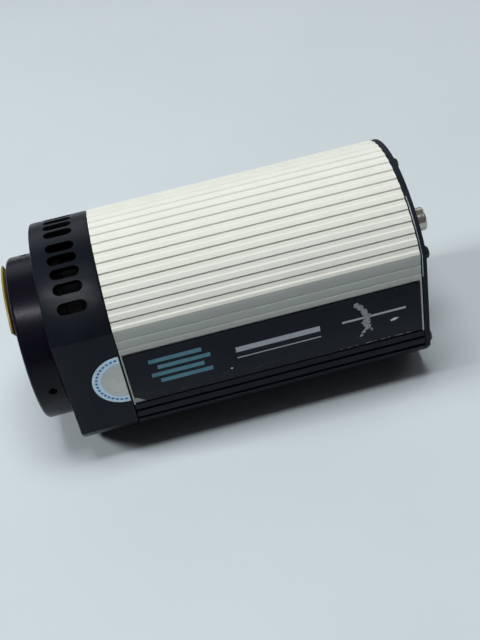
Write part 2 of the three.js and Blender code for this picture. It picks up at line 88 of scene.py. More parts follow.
POWER_Z = -5.0
LAMP_Z = 23.5
REAR_SLOT_Z = -21.5
REAR_SLOT_L = 12
REAR_SLOT_W = 2.6
REAR_SLOT_PITCH = 5.2
REAR_SCREW_R = 40.3
FAN_FRONT = 46
FAN_END = 60
FAN_BORE_R = 26.5
BLADE_ROOT_R = 8.8
BLADE_TIP_R = 25.6
BLADES = 7
ORIGIN = Vector(((COVER_FRONT + SOCKET_END) / 2, 0.0, PAD_BOTTOM))


def place(p):
    """A point in millimetres from the optical axis, as metres in the shared frame."""
    return (Vector(p) - ORIGIN) / 1000


def polar(r, degrees):
    """The point at a radius and an angle."""
    return (r * math.cos(math.radians(degrees)), r * math.sin(math.radians(degrees)))


REAR_SCREWS = [polar(REAR_SCREW_R, a) for a in (32, 90, 148, 215, 325)] + [(0.0, -34.2)]


# ---- Materials -------------------------------------------------------------------------

class Graph:
    """A small helper that adds shader nodes and joins them."""

    def __init__(self, name):
        self.mat = bpy.data.materials.new(name)
        self.mat.use_nodes = True
        self.tree = self.mat.node_tree
        self.shader = self.tree.nodes["Principled BSDF"]
        self.coords = self.add("ShaderNodeTexCoord").outputs["Object"]

    def add(self, kind, **values):
        node = self.tree.nodes.new(kind)
        for key, value in values.items():
            if hasattr(node, key):
                setattr(node, key, value)
            else:
                self.feed(node.inputs[key], value)
        return node

    def feed(self, socket, value):
        if isinstance(value, bpy.types.NodeSocket):
            self.tree.links.new(value, socket)
        else:
            socket.default_value = value

    def stretched(self, scale):
        node = self.add("ShaderNodeMapping", Scale=scale)
        self.feed(node.inputs["Vector"], self.coords)
        return node.outputs["Vector"]

    def noise(self, scale, detail=4.0, roughness=0.55, vector=None):
        return self.add("ShaderNodeTexNoise", Scale=scale, Detail=detail, Roughness=roughness,
                        Vector=vector or self.coords).outputs["Fac"]

    def ramp(self, value, low, high, to=(0.0, 1.0)):
        node = self.add("ShaderNodeMapRange", clamp=True)
        self.feed(node.inputs["Value"], value)
        self.feed(node.inputs["From Min"], low)
        self.feed(node.inputs["From Max"], high)
        self.feed(node.inputs["To Min"], to[0])
        self.feed(node.inputs["To Max"], to[1])
        return node.outputs["Result"]

    def math(self, operation, a, b):
        node = self.add("ShaderNodeMath", operation=operation, use_clamp=True)
        self.feed(node.inputs[0], a)
        self.feed(node.inputs[1], b)
        return node.outputs[0]

    def mix(self, factor, a, b):
        node = self.add("ShaderNodeMix", data_type="RGBA")
        self.feed(node.inputs[0], factor)
        self.feed(node.inputs[6], a)
        self.feed(node.inputs[7], b)
        return node.outputs[2]

    def up(self):
        """Nearly 1 where a face looks up, 0 on walls."""
        split = self.add("ShaderNodeSeparateXYZ", Vector=self.add("ShaderNodeNewGeometry").outputs["Normal"])
        return self.ramp(split.outputs["Z"], 0.35, 0.95)

    def bump(self, height, strength, distance):
        node = self.add("ShaderNodeBump", Height=height)
        node.inputs["Strength"].default_value = strength
        node.inputs["Distance"].default_value = distance
        return node.outputs["Normal"]


def rgb(r, g, b):
    return (r, g, b, 1.0)


def surface(name, base, alt, rough, metal=0.0, patch=90.0, grain=2600.0, bump=0.12, depth=0.00003,
            stretch=(1, 1, 1), wear=0.0, wear_color=(0.5, 0.5, 0.5), dust=0.0, dust_color=(0.30, 0.31, 0.33),
            coat=0.0, gloss=0.5):
    """A worn, slightly uneven surface: patches of colour, fine grain, scuffs and settled dust."""
    g = Graph(name)
    along = g.stretched(stretch)
    patches = g.ramp(g.noise(patch, 5.0), 0.32, 0.68)
    color = g.mix(patches, rgb(*base), rgb(*alt))
    fine = g.noise(grain, 3.0, 0.6, along)
    rough_value = g.ramp(fine, 0.25, 0.75, rough)
    if wear:
        scuffs = g.ramp(g.noise(220.0, 8.0, 0.7), 0.70 - 0.12 * wear, 0.74 - 0.1 * wear)
        broad = g.ramp(g.noise(35.0, 3.0), 0.45, 0.62)
        mask = g.math("MULTIPLY", scuffs, broad)
        color = g.mix(mask, color, rgb(*wear_color))
    if dust:
        settled = g.math("MULTIPLY", g.up(), g.ramp(g.noise(700.0, 6.0, 0.7), 0.5, 0.8, (0.0, dust)))
        color = g.mix(settled, color, rgb(*dust_color))
    g.feed(g.shader.inputs["Base Color"], color)
    g.feed(g.shader.inputs["Roughness"], rough_value)
    g.shader.inputs["Metallic"].default_value = metal
    g.shader.inputs["Coat Weight"].default_value = coat
    g.shader.inputs["Specular IOR Level"].default_value = gloss
    g.feed(g.shader.inputs["Normal"], g.bump(fine, bump, depth))
    return g.mat


def turned_metal(name, base, alt, rough, metal, lines=5200.0, bump=0.25, gloss=0.5):
    """Lathe-cut metal: fine rings around the X axis under a thin finish."""
    return surface(name, base, alt, rough, metal, patch=60.0, grain=lines, bump=bump, depth=0.00002,
                   stretch=(1.0, 0.03, 0.03), gloss=gloss)


def plain_glass(name, tint, alpha):
    g = Graph(name)
    color = g.mix(g.ramp(g.noise(160.0), 0.3, 0.7), rgb(*tint), rgb(*[c * 0.8 for c in tint]))
    g.feed(g.shader.inputs["Base Color"], color)
    g.feed(g.shader.inputs["Roughness"], g.ramp(g.noise(900.0), 0.3, 0.8, (0.02, 0.08)))
    g.shader.inputs["Alpha"].default_value = alpha
    g.shader.inputs["Coat Weight"].default_value = 0.6
    return g.mat


def circuit_board(name, base, alt):
    """Solder mask over fine traces that run in straight lines."""
    g = Graph(name)
    lines = g.add("ShaderNodeTexBrick", Scale=420.0, offset=0.37, Vector=g.coords)
    lines.inputs["Mortar Size"].default_value = 0.035
    traces = g.ramp(lines.outputs["Fac"], 0.2, 0.8)
    color = g.mix(traces, rgb(*base), rgb(*alt))
    pads = g.ramp(g.add("ShaderNodeTexVoronoi", Scale=520.0, Vector=g.coords).outputs["Distance"], 0.16, 0.12)
    color = g.mix(g.math("MULTIPLY", pads, g.ramp(g.noise(80.0), 0.5, 0.56)), color, rgb(0.6, 0.57, 0.45))
    g.feed(g.shader.inputs["Base Color"], color)
    g.feed(g.shader.inputs["Roughness"], g.ramp(g.noise(600.0), 0.3, 0.7, (0.25, 0.45)))
    g.feed(g.shader.inputs["Normal"], g.bump(traces, 0.3, 0.00003))
    return g.mat


CREAM = surface("cream_paint", (0.556, 0.577, 0.539), (0.530, 0.550, 0.513), (0.42, 0.60), patch=70.0,
                grain=4200.0, bump=0.3, depth=0.00004, wear=0.15, wear_color=(0.48, 0.49, 0.46), dust=0.1,
                dust_color=(0.50, 0.51, 0.49), gloss=0.25)
BLACK = surface("black_paint", (0.0063, 0.0085, 0.0146), (0.0092, 0.0122, 0.0200), (0.42, 0.58), patch=80.0,
                bump=0.25, depth=0.00004, wear=0.3, wear_color=(0.03, 0.033, 0.04), dust=0.02, gloss=0.12)
ANODISED = turned_metal("black_anodised_turned", (0.0048, 0.0068, 0.0102), (0.0075, 0.0098, 0.0140),
                        (0.30, 0.38), 0.0, bump=0.12, gloss=0.14)
ANODISED_NOSE = turned_metal("black_anodised_nose", (0.0030, 0.0030, 0.0065), (0.0045, 0.0042, 0.0085),
                             (0.22, 0.31), 0.0, bump=0.10, gloss=0.14)
MILLED = surface("milled_black", (0.0072, 0.0101, 0.0171), (0.0106, 0.0138, 0.0220), (0.40, 0.55), 0.0,
                 patch=60.0, grain=3000.0, stretch=(1, 1, 0.05), bump=0.15, wear=0.25,
                 wear_color=(0.03, 0.033, 0.04), gloss=0.12)
# Near-black matt: the chamber's and the set screws' own black, and painted shade on the slot walls and on
# faces hidden inside the ring.
MATT_BLACK_AND_SHADE = surface("matt_black_and_painted_shade", (0.0030, 0.0032, 0.0038), (0.0050, 0.0052, 0.0060), (0.60, 0.75),
                     0.0, patch=200.0, grain=1500.0, bump=0.1, gloss=0.08)
NICKEL = turned_metal("nickel_plate", (0.58, 0.55, 0.50), (0.46, 0.43, 0.39), (0.16, 0.28), 0.85,
                      lines=3000.0, bump=0.15)
STEEL = turned_metal("turned_steel", (0.46, 0.46, 0.46), (0.36, 0.36, 0.37), (0.24, 0.42), 1.0)
BLACK_STEEL = surface("blackened_steel", (0.022, 0.022, 0.025), (0.05, 0.05, 0.055), (0.28, 0.5), 0.8,
                      patch=400.0, wear=1.0, wear_color=(0.25, 0.25, 0.26))
BRASS = surface("brass", (0.56, 0.40, 0.16), (0.42, 0.29, 0.11), (0.25, 0.45), 1.0, patch=300.0)
COPPER = surface("copper", (0.60, 0.28, 0.17), (0.42, 0.18, 0.10), (0.25, 0.45), 1.0, patch=150.0, wear=0.5,
                 wear_color=(0.25, 0.12, 0.08))
RAW_ALUMINIUM = surface("milled_aluminium", (0.55, 0.56, 0.57), (0.46, 0.47, 0.48), (0.28, 0.45), 1.0,
                        patch=120.0, stretch=(0.05, 1, 1))
RUBBER = surface("rubber", (0.008, 0.008, 0.008), (0.015, 0.015, 0.015), (0.7, 0.9), dust=0.2, gloss=0.2)
YELLOW = surface("yellow_moulded", (0.21, 0.150, 0.028), (0.175, 0.125, 0.022), (0.30, 0.45), patch=120.0,
                 wear=0.3, wear_color=(0.30, 0.19, 0.04), gloss=0.6)
PLASTIC = surface("black_moulded", (0.0090, 0.0090, 0.0105), (0.0150, 0.0150, 0.0175), (0.45, 0.62),
                  grain=1800.0, bump=0.3, dust=0.05, gloss=0.2)
WHITE_PLASTIC = surface("white_insulator", (0.75, 0.74, 0.70), (0.66, 0.65, 0.60), (0.4, 0.55))
CERAMIC = surface("white_ceramic", (0.72, 0.70, 0.65), (0.62, 0.60, 0.55), (0.5, 0.7), patch=200.0)
BOARD = circuit_board("solder_mask", (0.012, 0.085, 0.035), (0.02, 0.14, 0.055))
AMBER = surface("amber_film", (0.42, 0.17, 0.03), (0.32, 0.12, 0.02), (0.25, 0.4), patch=150.0)
SENSOR = surface("sensor_chip", (0.03, 0.025, 0.06), (0.05, 0.03, 0.08), (0.08, 0.16), 0.3, patch=900.0,
                 coat=0.5)
GLASS = plain_glass("coated_glass", (0.70, 0.82, 0.84), 0.3)
LAMP = surface("green_lamp", (0.05, 0.34, 0.09), (0.03, 0.25, 0.07), (0.12, 0.2), coat=0.5)
SCUFF = surface("scuffed_backing", (0.50, 0.51, 0.53), (0.13, 0.14, 0.15), (0.5, 0.7), patch=1900.0, wear=1.0,
                wear_color=(0.02, 0.022, 0.026))
CHIP = surface("bare_chip", (0.85, 0.85, 0.83), (0.70, 0.70, 0.69), (0.4, 0.6), patch=900.0)
INK_LIGHT = surface("light_ink", (0.52, 0.55, 0.58), (0.44, 0.47, 0.50), (0.35, 0.5), patch=500.0, wear=0.25,
                    wear_color=(0.22, 0.24, 0.26))
INK_TEAL = surface("teal_ink", (0.085, 0.28, 0.36), (0.060, 0.21, 0.29), (0.35, 0.5), patch=250.0, wear=0.25,
                   wear_color=(0.04, 0.08, 0.11))
SEAL_CENTRE = surface("seal_foil", (0.52, 0.52, 0.50), (0.44, 0.44, 0.43), (0.32, 0.45), 0.75, patch=300.0,
                      wear=0.2, wear_color=(0.36, 0.36, 0.36))
SEAL_RIM = surface("seal_rim", (0.62, 0.78, 0.93), (0.56, 0.71, 0.86), (0.35, 0.5), 0.45, patch=300.0)
SEAL_MARK = surface("seal_marks", (0.05, 0.12, 0.36), (0.08, 0.17, 0.44), (0.4, 0.55), patch=900.0)
# Bright metal for a thin strip along the rear plate's front edge, broken by dark patches.
BRIGHT_EDGE_METAL = surface("bright_plate_edge", (0.50, 0.52, 0.55), (0.30, 0.32, 0.35), (0.25, 0.4), 0.6, patch=700.0,
                   wear=1.0, wear_color=(0.05, 0.055, 0.06))


def film_material():
    """Dark printed film: low gloss, faint patches, fine scratches along its lower edge."""
    g = Graph("printed_film")
    color = g.mix(g.ramp(g.noise(60.0, 5.0), 0.35, 0.7), rgb(0.0055, 0.0080, 0.0135),
                  rgb(0.0078, 0.0108, 0.0170))
    lines = g.noise(900.0, 5.0, 0.7, g.stretched((0.12, 1.0, 1.6)))
    split = g.add("ShaderNodeSeparateXYZ", Vector=g.coords)
    low_edge = g.ramp(split.outputs["Z"], place((0, 0, SPLIT_Z + 5.6)).z, place((0, 0, SPLIT_Z + 1.6)).z)
    marks = g.math("MULTIPLY", g.ramp(lines, 0.60, 0.66), g.math("ADD", low_edge, 0.12))
    color = g.mix(marks, color, rgb(0.060, 0.066, 0.075))
    g.feed(g.shader.inputs["Base Color"], color)
    g.feed(g.shader.inputs["Roughness"], g.ramp(g.noise(300.0, 5.0), 0.3, 0.7, (0.30, 0.46)))
    g.shader.inputs["Specular IOR Level"].default_value = 0.12
    g.feed(g.shader.inputs["Normal"], g.bump(g.noise(250.0, 3.0), 0.12, 0.00008))
    return g.mat


FILM = film_material()


# ---- Mesh helpers ----------------------------------------------------------------------

def arc(r, start, end, steps):
    """Points along a round stretch, from one angle in degrees to another."""
    return [polar(r, start + (end - start) * i / steps) for i in range(steps + 1)]


def circle(r, steps):
    """A closed round outline. The last point isn't the first one again."""
    return arc(r, 0, 360 - 360 / steps, steps - 1)


def quarter(steps):
    """The angles of a quarter turn, in radians."""
    return [math.pi / 2 * i / steps for i in range(steps + 1)]


def mesh_object(name, verts, faces):
    """An object from vertices in millimetres, with its normals turned outwards."""
    mesh = bpy.data.meshes.new(name)
    bm = bmesh.new()
    made = [bm.verts.new(place(v)) for v in verts]
    for face in faces:
        bm.faces.new([made[i] for i in face])
    bmesh.ops.remove_doubles(bm, verts=bm.verts, dist=1e-6)
    bmesh.ops.recalc_face_normals(bm, faces=bm.faces)
    bm.to_mesh(mesh)
    bm.free()
    obj = bpy.data.objects.new(name, mesh)
    bpy.context.scene.collection.objects.link(obj)
    return obj


def lathe(name, profile, segments=96, y=0.0, z=0.0, closed=None):
    """A turned piece around a line along X. The profile is a list of (x, radius).

    A closed profile also joins its last point to its first. One that starts or ends at radius 0 stays open.
    """
    closed = profile[0][1] > 0 and profile[-1][1] > 0 if closed is None else closed
    verts, rings = [], []
    for x, r in profile:
        if r == 0:
            rings.append([len(verts)] * segments)
            verts.append((x, y, z))
            continue
        rings.append(list(range(len(verts), len(verts) + segments)))
        for i in range(segments):
            a = 2 * math.pi * i / segments
            verts.append((x, y + r * math.cos(a), z + r * math.sin(a)))
    faces = []
    pairs = list(zip(rings, rings[1:])) + ([(rings[-1], rings[0])] if closed else [])
    for a, b in pairs:
        for i in range(segments):
            j = (i + 1) % segments
            corners = [a[i], a[j], b[j], b[i]]
            unique = list(dict.fromkeys(corners))
            if len(unique) > 2:
                faces.append(unique)
    return mesh_object(name, verts, faces)


def prism(name, outline, x0, x1, axes="x"):
    """An outline of (y, z) points pushed along X, or of (x, z) points pushed along Y, or (x, y) along Z."""
    def corner(a, b, t):
        return {"x": (t, a, b), "y": (a, t, b), "z": (a, b, t)}[axes]
    n = len(outline)
    verts = [corner(a, b, x0) for a, b in outline] + [corner(a, b, x1) for a, b in outline]
    faces = [list(range(n)), list(range(2 * n - 1, n - 1, -1))]
    faces += [[i, (i + 1) % n, n + (i + 1) % n, n + i] for i in range(n)]
    return mesh_object(name, verts, faces)


def block(name, x0, x1, y0, y1, z0, z1):
    return prism(name, [(y0, z0), (y1, z0), (y1, z1), (y0, z1)], x0, x1)


def rod(name, x0, x1, r, y=0.0, z=0.0, segments=48):
    return lathe(name, [(x0, 0), (x0, r), (x1, r), (x1, 0)], segments, y, z, closed=False)


def apply(obj):
    """Bakes the object's modifiers into its mesh."""
    graph = bpy.context.evaluated_depsgraph_get()
    baked = bpy.data.meshes.new_from_object(obj.evaluated_get(graph))
    obj.modifiers.clear()
    old = obj.data
    obj.data = baked
    bpy.data.meshes.remove(old)


def combine(obj, tools, operation="DIFFERENCE"):
    """Cuts or joins other pieces with this one and removes them."""
    for tool in tools:
        modifier = obj.modifiers.new("combine", "BOOLEAN")
        modifier.operation = operation
        modifier.solver = "EXACT"
        modifier.object = tool
    apply(obj)
    for tool in tools:
        bpy.data.objects.remove(tool)
    return obj


def bevel(obj, width, segments=2, angle=35.0):
    modifier = obj.modifiers.new("bevel", "BEVEL")
    modifier.width = width / 1000
    modifier.segments = segments
    modifier.limit_method = "ANGLE"
    modifier.angle_limit = math.radians(angle)
    modifier.use_clamp_overlap = True
    apply(obj)
    return obj


def dress(obj, material, replaced=(), body="camera", smooth=32.0):
    """Gives a finished piece its material, its body and the CAD nodes it stands for."""
    obj.data.materials.clear()
    obj.data.materials.append(material)
    obj.data.shade_smooth()
    obj.data.set_sharp_from_angle(angle=math.radians(smooth))
    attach(obj, body)
    for node in replaced:
        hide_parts(node)
    return obj


def move(obj, matrix):
    obj.data.transform(matrix)
    return obj


def around_axis(obj, angle):
    """Turns a piece about the optical axis by an angle in degrees."""
    centre = place((0, 0, 0))
    turn = Matrix.Rotation(math.radians(angle), 4, "X")
    return move(obj, Matrix.Translation(centre) @ turn @ Matrix.Translation(-centre))


def stand_up(obj, x, z, angle):
    """Turns a piece made along X upright about the origin, then moves it to x and z."""
    turn = Matrix.Rotation(math.radians(angle), 4, "Y")
    return move(obj, Matrix.Translation(place((x, 0, z))) @ turn @ Matrix.Translation(-place((0, 0, 0))))


def upright_hole(x, r, steps, z0, z1):
    """A rod along Z, used to drill a hole."""
    return prism("hole", [(x + a, b) for a, b in circle(r, steps)], z0, z1, "z")


def body_outline(inset=0.0):
    """The camera's cross-section: a round with flat sides and a flat base."""
    r = BODY_R - inset
    side = math.degrees(math.acos((FLAT_Y - inset) / r))
    under = math.degrees(math.acos((-BASE_Z - inset) / r))
    return (arc(r, side, 180 - side, 72) + arc(r, 180 + side, 270 - under, 14)
            + arc(r, 270 + under, 360 - side, 14))


def slot_outline(length, width, steps=12):
    """A slot with round ends."""
    half = (length - width) / 2
    return ([(x + half, y) for x, y in arc(width / 2, -90, 90, steps)]
            + [(x - half, y) for x, y in arc(width / 2, 90, 270, steps)])


# ---- Nose ------------------------------------------------------------------------------

def radial_rod(name, r0, r1, radius, x, angle, segments=24):
    """A rod that points away from the optical axis."""
    obj = prism(name, circle(radius, segments), r0, r1, "z")
    obj = move(obj, Matrix.Translation(Vector((x, 0, 0)) / 1000))
    return around_axis(obj, angle - 90)


def nose():
    inner = 16.3
    rim = [(NOSE_FRONT + 1.5 - 1.5 * math.cos(t), NOSE_R - 1.5 + 1.5 * math.sin(t))
           for t in quarter(8)]
    profile = [(NOSE_FRONT + 0.25, inner), (NOSE_FRONT, inner + 0.25)] + rim
    profile += [(-RING_L - 1.0, NOSE_R), (-RING_L - GAP, NOSE_R - 0.6), (-RING_L - GAP, 28.3),
                (-15.5, 28.3), (-15.5, 24), (-31, 24), (-31, inner)]
    barrel = lathe("nose_barrel_fine", profile, 160)
    barrel = combine(barrel, [radial_rod("hole", 22, 36, 1.7, NOSE_SCREW_X, a) for a in NOSE_SCREW_ANGLES])
    dress(barrel, ANODISED_NOSE, ["nose_barrel"])
    # Faces inside the front ring take the near-black matt material: painted shade seen through the slots.
    barrel.data.materials.append(MATT_BLACK_AND_SHADE)
    for face in barrel.data.polygons:
        if face.center.x > place((-RING_L - GAP - 0.05, 0, 0)).x:
            face.material_index = 1
    for i, angle in enumerate(NOSE_SCREW_ANGLES):
        pin = radial_rod("nose_set_screw_fine_%d" % (i + 1), 26, 32.9, 1.4, NOSE_SCREW_X, angle)
        pin = combine(pin, [radial_rod("key", 30.6, 34, 0.78, NOSE_SCREW_X, angle, 6)])
        dress(bevel(pin, 0.12), MATT_BLACK_AND_SHADE, ["nose_set_screw_%d" % (i + 1)])


def lens_insert():
    """A ring with a cut thread on its inside."""
    inner = 12.7
    profile = [(NOSE_FRONT + 0.4, inner + 0.5), (NOSE_FRONT + 0.1, inner + 0.9), (NOSE_FRONT + 0.1, 15.8),
               (NOSE_FRONT + 0.3, 16), (-30.7, 16), (-30.7, 19), (-28.7, 19), (-28.7, inner + 0.2)]
    x = -29.0
    while x > NOSE_FRONT + 1.2:
        profile += [(x, inner + 0.45), (x - 0.4, inner)]
        x -= 0.8
    dress(lathe("lens_mount_insert_fine", profile, 96), STEEL, ["lens_mount_insert"], smooth=20)


def cover():
    """A thin flange with a finger grip, a thicker disc over the thread and a ring-shaped plug."""
    seat = NOSE_FRONT - GAP
    grip = [(y + 3.6, z - 0.4) for y, z in arc(31.0, 72, 138, 48)]
    outline = [(18.4, 21.6)] + grip + [(-11.5, 11.8), (0, 0), (11, 11)]
    flange = prism("aperture_cover_fine", outline, COVER_FRONT, COVER_FRONT + COVER_FLANGE)
    bevel(flange, 0.14, 2, 30)
    disc_profile = [(COVER_FRONT, 0), (COVER_FRONT, 15.2), (COVER_FRONT + 0.4, 15.6), (seat - 0.3, 15.6),
                    (seat, 15.3), (seat, 0)]
    plug_profile = [(seat - 0.6, 9), (seat - 0.6, 12.2), (NOSE_FRONT + 2.6, 12.2), (NOSE_FRONT + 3, 11.8),
                    (NOSE_FRONT + 3, 9.3), (NOSE_FRONT + 2.7, 9)]
    disc = lathe("disc", disc_profile, 96, closed=False)
    piece = combine(flange, [disc, lathe("plug", plug_profile, 96)], "UNION")
    groove = lathe("groove", [(COVER_FRONT - 0.5, 12.9), (COVER_FRONT - 0.5, 13.9), (COVER_FRONT + 0.3, 13.7),
                              (COVER_FRONT + 0.3, 13.1)], 96)
    ribs = [block("rib", COVER_FRONT - 0.2, COVER_FRONT + 0.2, -6 + 4 * i - 0.5, -6 + 4 * i + 0.5, 23.0, 27.0)
            for i in range(5)]
    dress(combine(piece, ribs + [groove]), YELLOW, ["aperture_cover"], body="cover")


nose()
lens_insert()
cover()


# ---- Front ring ------------------------------------------------------------------------

def air_slot(angle):
    tool = prism("slot", [(SLOT_X + a, b) for a, b in slot_outline(SLOT_L, SLOT_W)], 34, 48, "z")
    return around_axis(tool, angle - 90)


def front_ring():
    axis_height = place((0, 0, 0)).z
    base_height = place((0, 0, BASE_Z + 0.6)).z
    ring = prism("front_vent_ring_fine", body_outline(), -RING_L, 0)
    bevel(ring, 0.6, 2, 60)
    tools = [prism("hollow", body_outline(WALL), -RING_L + 4, 1),
             rod("mouth", -RING_L - 1, -RING_L + 5, 28.6, segments=96)]
    for offset in SLOT_OFFSETS:
        tools += [air_slot(SLOT_CENTRE + offset), air_slot(SLOT_CENTRE - offset)]
    ring = combine(ring, tools)
    dress(ring, ANODISED, ["front_vent_ring"], smooth=28)
    ring.data.materials.append(MILLED)
    # Inner faces and slot walls take the near-black matt material: painted shade inside the slots and the
    # hollow.
    ring.data.materials.append(MATT_BLACK_AND_SHADE)
    flat = FLAT_Y / 1000 - 0.0001
    for face in ring.data.polygons:
        radius = math.hypot(face.center.y, face.center.z - axis_height)
        inside = radius < BODY_R / 1000 - 0.0008 and abs(face.center.y) < flat - 0.0006
        if abs(face.normal.y) > 0.999 and abs(face.center.y) > flat:
            face.material_index = 1
        elif inside and face.center.x > place((-RING_L + 0.5, 0, 0)).x and face.center.z > base_height:
            face.material_index = 2


def cut_disc(name, radius, y0, y1):
    """The seal's disc, cut square just short of the shell."""
    open_angle = math.degrees(math.acos((SEAL_CUT - SEAL_X) / radius))
    points = arc(radius, open_angle, 360 - open_angle, 72)
    return prism(name, [(SEAL_X + a, SEAL_Z + b) for a, b in points], y0, y1, "y")


def seal():
    """A pale round seal with a foil centre and a ring of plain even dashes."""
    face = -FLAT_Y - 0.05
    rim = cut_disc("seal_rim_disc", 11.95, face - 0.2, face)
    dress(bevel(rim, 0.06, 1), SEAL_RIM, ["seal_sticker"])
    dress(cut_disc("seal_centre_disc", 8.6, face - 0.23, face - 0.19), SEAL_CENTRE)
    verts, faces = [], []
    for i in range(SEAL_DASHES):
        a = math.radians(360 / SEAL_DASHES * (i + 0.5))
        if DASH_RING_R * math.cos(a) > -0.6:
            continue
        for r, s in ((-0.45, -0.55), (0.45, -0.55), (0.45, 0.55), (-0.45, 0.55)):
            verts.append((SEAL_X + (DASH_RING_R + r) * math.cos(a) - s * math.sin(a), face - 0.215,
                          SEAL_Z + (DASH_RING_R + r) * math.sin(a) + s * math.cos(a)))
        n = len(verts)
        faces.append([n - 4, n - 3, n - 2, n - 1])
    dress(mesh_object("seal_dashes", verts, faces), SEAL_MARK)


front_ring()
seal()


# ---- Shells ----------------------------------------------------------------------------

def rib_line():
    """The upper shell's outer line: lapped ribs over the round part.

    Each rib ends in a slanted notch, with a small step between one notch and the next.
    """
    lean = FLAT_Y - 0.5
    flat = [(FLAT_Y, SPLIT_Z), (FLAT_Y, 14.1), (FLAT_Y - 0.05, 14.3), (lean + 0.06, 14.62), (lean, 14.8),
            (FLAT_Y - 0.02, 18.2), (FLAT_Y - 0.06, 18.4), (lean + 0.06, 18.72), (lean, 18.9),
            (FLAT_Y - 0.02, 22.3), (FLAT_Y - 0.03, 22.6), polar(BODY_R, 32.4)]
    ribs = []
    for i in range(GROOVES):
        groove = FIRST_GROOVE + RIB_PITCH * i
        step = groove + STEP_AFTER
        shape = [(0.0, groove - 0.42), (0.06, groove - 0.34), (0.62, groove + 0.16), (0.68, groove + 0.23),
                 (0.62, groove + 0.28), (STEP_IN, groove + 0.31), (STEP_IN, step - 0.45), (0.0, step + 0.5)]
        ribs += [polar(BODY_R - depth, angle) for depth, angle in shape]
    return flat + ribs + [(-y, z) for y, z in reversed(flat)]


def upper_shell():
    inner = BODY_R - WALL
    side = math.degrees(math.acos((FLAT_Y - WALL) / inner))
    inside = [(-FLAT_Y + WALL, SPLIT_Z)] + arc(inner, 180 - side, side, 60) + [(FLAT_Y - WALL, SPLIT_Z)]
    shell = prism("upper_shell_fine", rib_line() + inside, GAP, SHELL_L)
    tools = []
    for sign in (-1, 1):
        low, high = sorted((sign * (FLAT_Y - LABEL_DEPTH), sign * 50))
        tools.append(block("recess", GAP + END_STRIP, SHELL_L - END_STRIP, low, high, SPLIT_Z - 5, LABEL_TOP))
    dress(combine(shell, tools), CREAM, ["upper_shell"], smooth=12)


def lower_shell():
    top = SPLIT_Z - GAP
    under = math.degrees(math.acos(-BASE_Z / BODY_R))
    side = [(FLAT_Y - 0.15, top), (FLAT_Y, top - 0.15)]
    for z in SIDE_GROOVES_Z:
        side += [(FLAT_Y, z + 0.75), (FLAT_Y - 0.12, z + 0.6), (FLAT_Y - 0.95, z + 0.5),
                 (FLAT_Y - 0.95, z - 0.5), (FLAT_Y - 0.12, z - 0.6), (FLAT_Y, z - 0.75)]
    turn = -math.degrees(math.acos(FLAT_Y / BODY_R))
    side += arc(BODY_R, turn - 0.3, -90 + under + 0.6, 16)
    outer = side + [(polar(BODY_R, -90 + under)[0] - 0.4, BASE_Z)]
    outer = outer + [(-y, z) for y, z in reversed(outer)]
    shell = prism("lower_shell_fine", outer, GAP, SHELL_L)
    tools = [prism("hollow", body_outline(WALL), -1, SHELL_L + 1),
             upright_hole(TRIPOD_X, BUSH_HOLE_R, 45, BASE_Z - 1, BASE_Z + 5)]
    tools += [upright_hole(x, PAD_SCREW_HOLE_R, 24, BASE_Z - 1, BASE_Z + 5) for x in PAD_SCREWS]
    shell = combine(shell, tools)
    dress(bevel(shell, 0.2, 2, 50), BLACK, ["lower_shell"], smooth=26)


def bosses():
    """The screw bosses at the rear ends of the shells."""
    profile = [(SHELL_L - 14, 1.6), (SHELL_L - 14, 2.9), (SHELL_L - 13.7, 3.2), (SHELL_L - 0.3, 3.2),
               (SHELL_L - 0.1, 3.0), (SHELL_L - 0.1, 1.8), (SHELL_L - 0.3, 1.6)]
    for i, (y, z) in enumerate(REAR_SCREWS):
        boss = lathe("rear_boss_%d" % (i + 1), profile, 40, y, z)
        upper = i < 3
        dress(boss, CREAM if upper else BLACK)


def film_outline(front_cut):
    """The film's outline, with a torn lower corner beside the seal on the near side."""
    x0, x1 = GAP + END_STRIP + 0.2, SHELL_L - END_STRIP - 0.2
    z0, z1 = SPLIT_Z + 0.3, FILM_TOP
    points = [(x1 - 0.6, z0), (x1, z0 + 0.6)]
    points += [(x1, z1 - 0.6), (x1 - 0.6, z1), (x0 + 0.6, z1), (x0, z1 - 0.6)]
    if front_cut:
        return points + [(x0, z0 + 3.0), (x0 + 0.9, z0 + 2.7), (x0 + 4.0, z0 + 0.5), (x0 + 4.4, z0)]
    return points + [(x0, z0 + 0.6), (x0 + 0.6, z0)]


def blob(cx, cz, rx, rz, seed, lean=0.0, count=36):
    """An irregular closed outline."""
    points = []
    for i in range(count):
        a = 2 * math.pi * i / count
        wobble = 1 + 0.45 * noise.noise(Vector((math.cos(a) * 1.6, math.sin(a) * 1.6, seed)))
        wobble += 0.16 * noise.noise(Vector((math.cos(a) * 6, math.sin(a) * 6, seed + 9)))
        x, z = rx * wobble * math.cos(a), rz * wobble * math.sin(a)
        points.append((cx + x + lean * z, cz + z))
    return points


SCUFFS = [  # where the film is scraped: x, z, half length, half height, lean
    (93.2, 7.0, 1.0, 1.1, 0.3), (94.6, 5.2, 1.5, 1.5, -0.2), (96.2, 2.6, 1.4, 1.7, -0.1),
    (97.0, -0.2, 1.7, 1.6, 0.2), (96.6, -2.9, 2.0, 1.6, 0.1), (97.0, -5.4, 1.3, 1.3, 0.3),
    (95.4, -7.4, 0.9, 0.9, 0.5), (94.2, -9.3, 0.7, 0.5, 0.4), (98.6, -7.2, 0.5, 0.7, 0.2),
]
# Wear along the film's lower edge: x, half length.
FLAKES = [(85.5, 0.5), (88.9, 1.1), (92.0, 0.4), (97.1, 1.5), (99.8, 0.4), (102.9, 1.0), (105.2, 0.5),
          (109.6, 1.7), (113.4, 0.8)]


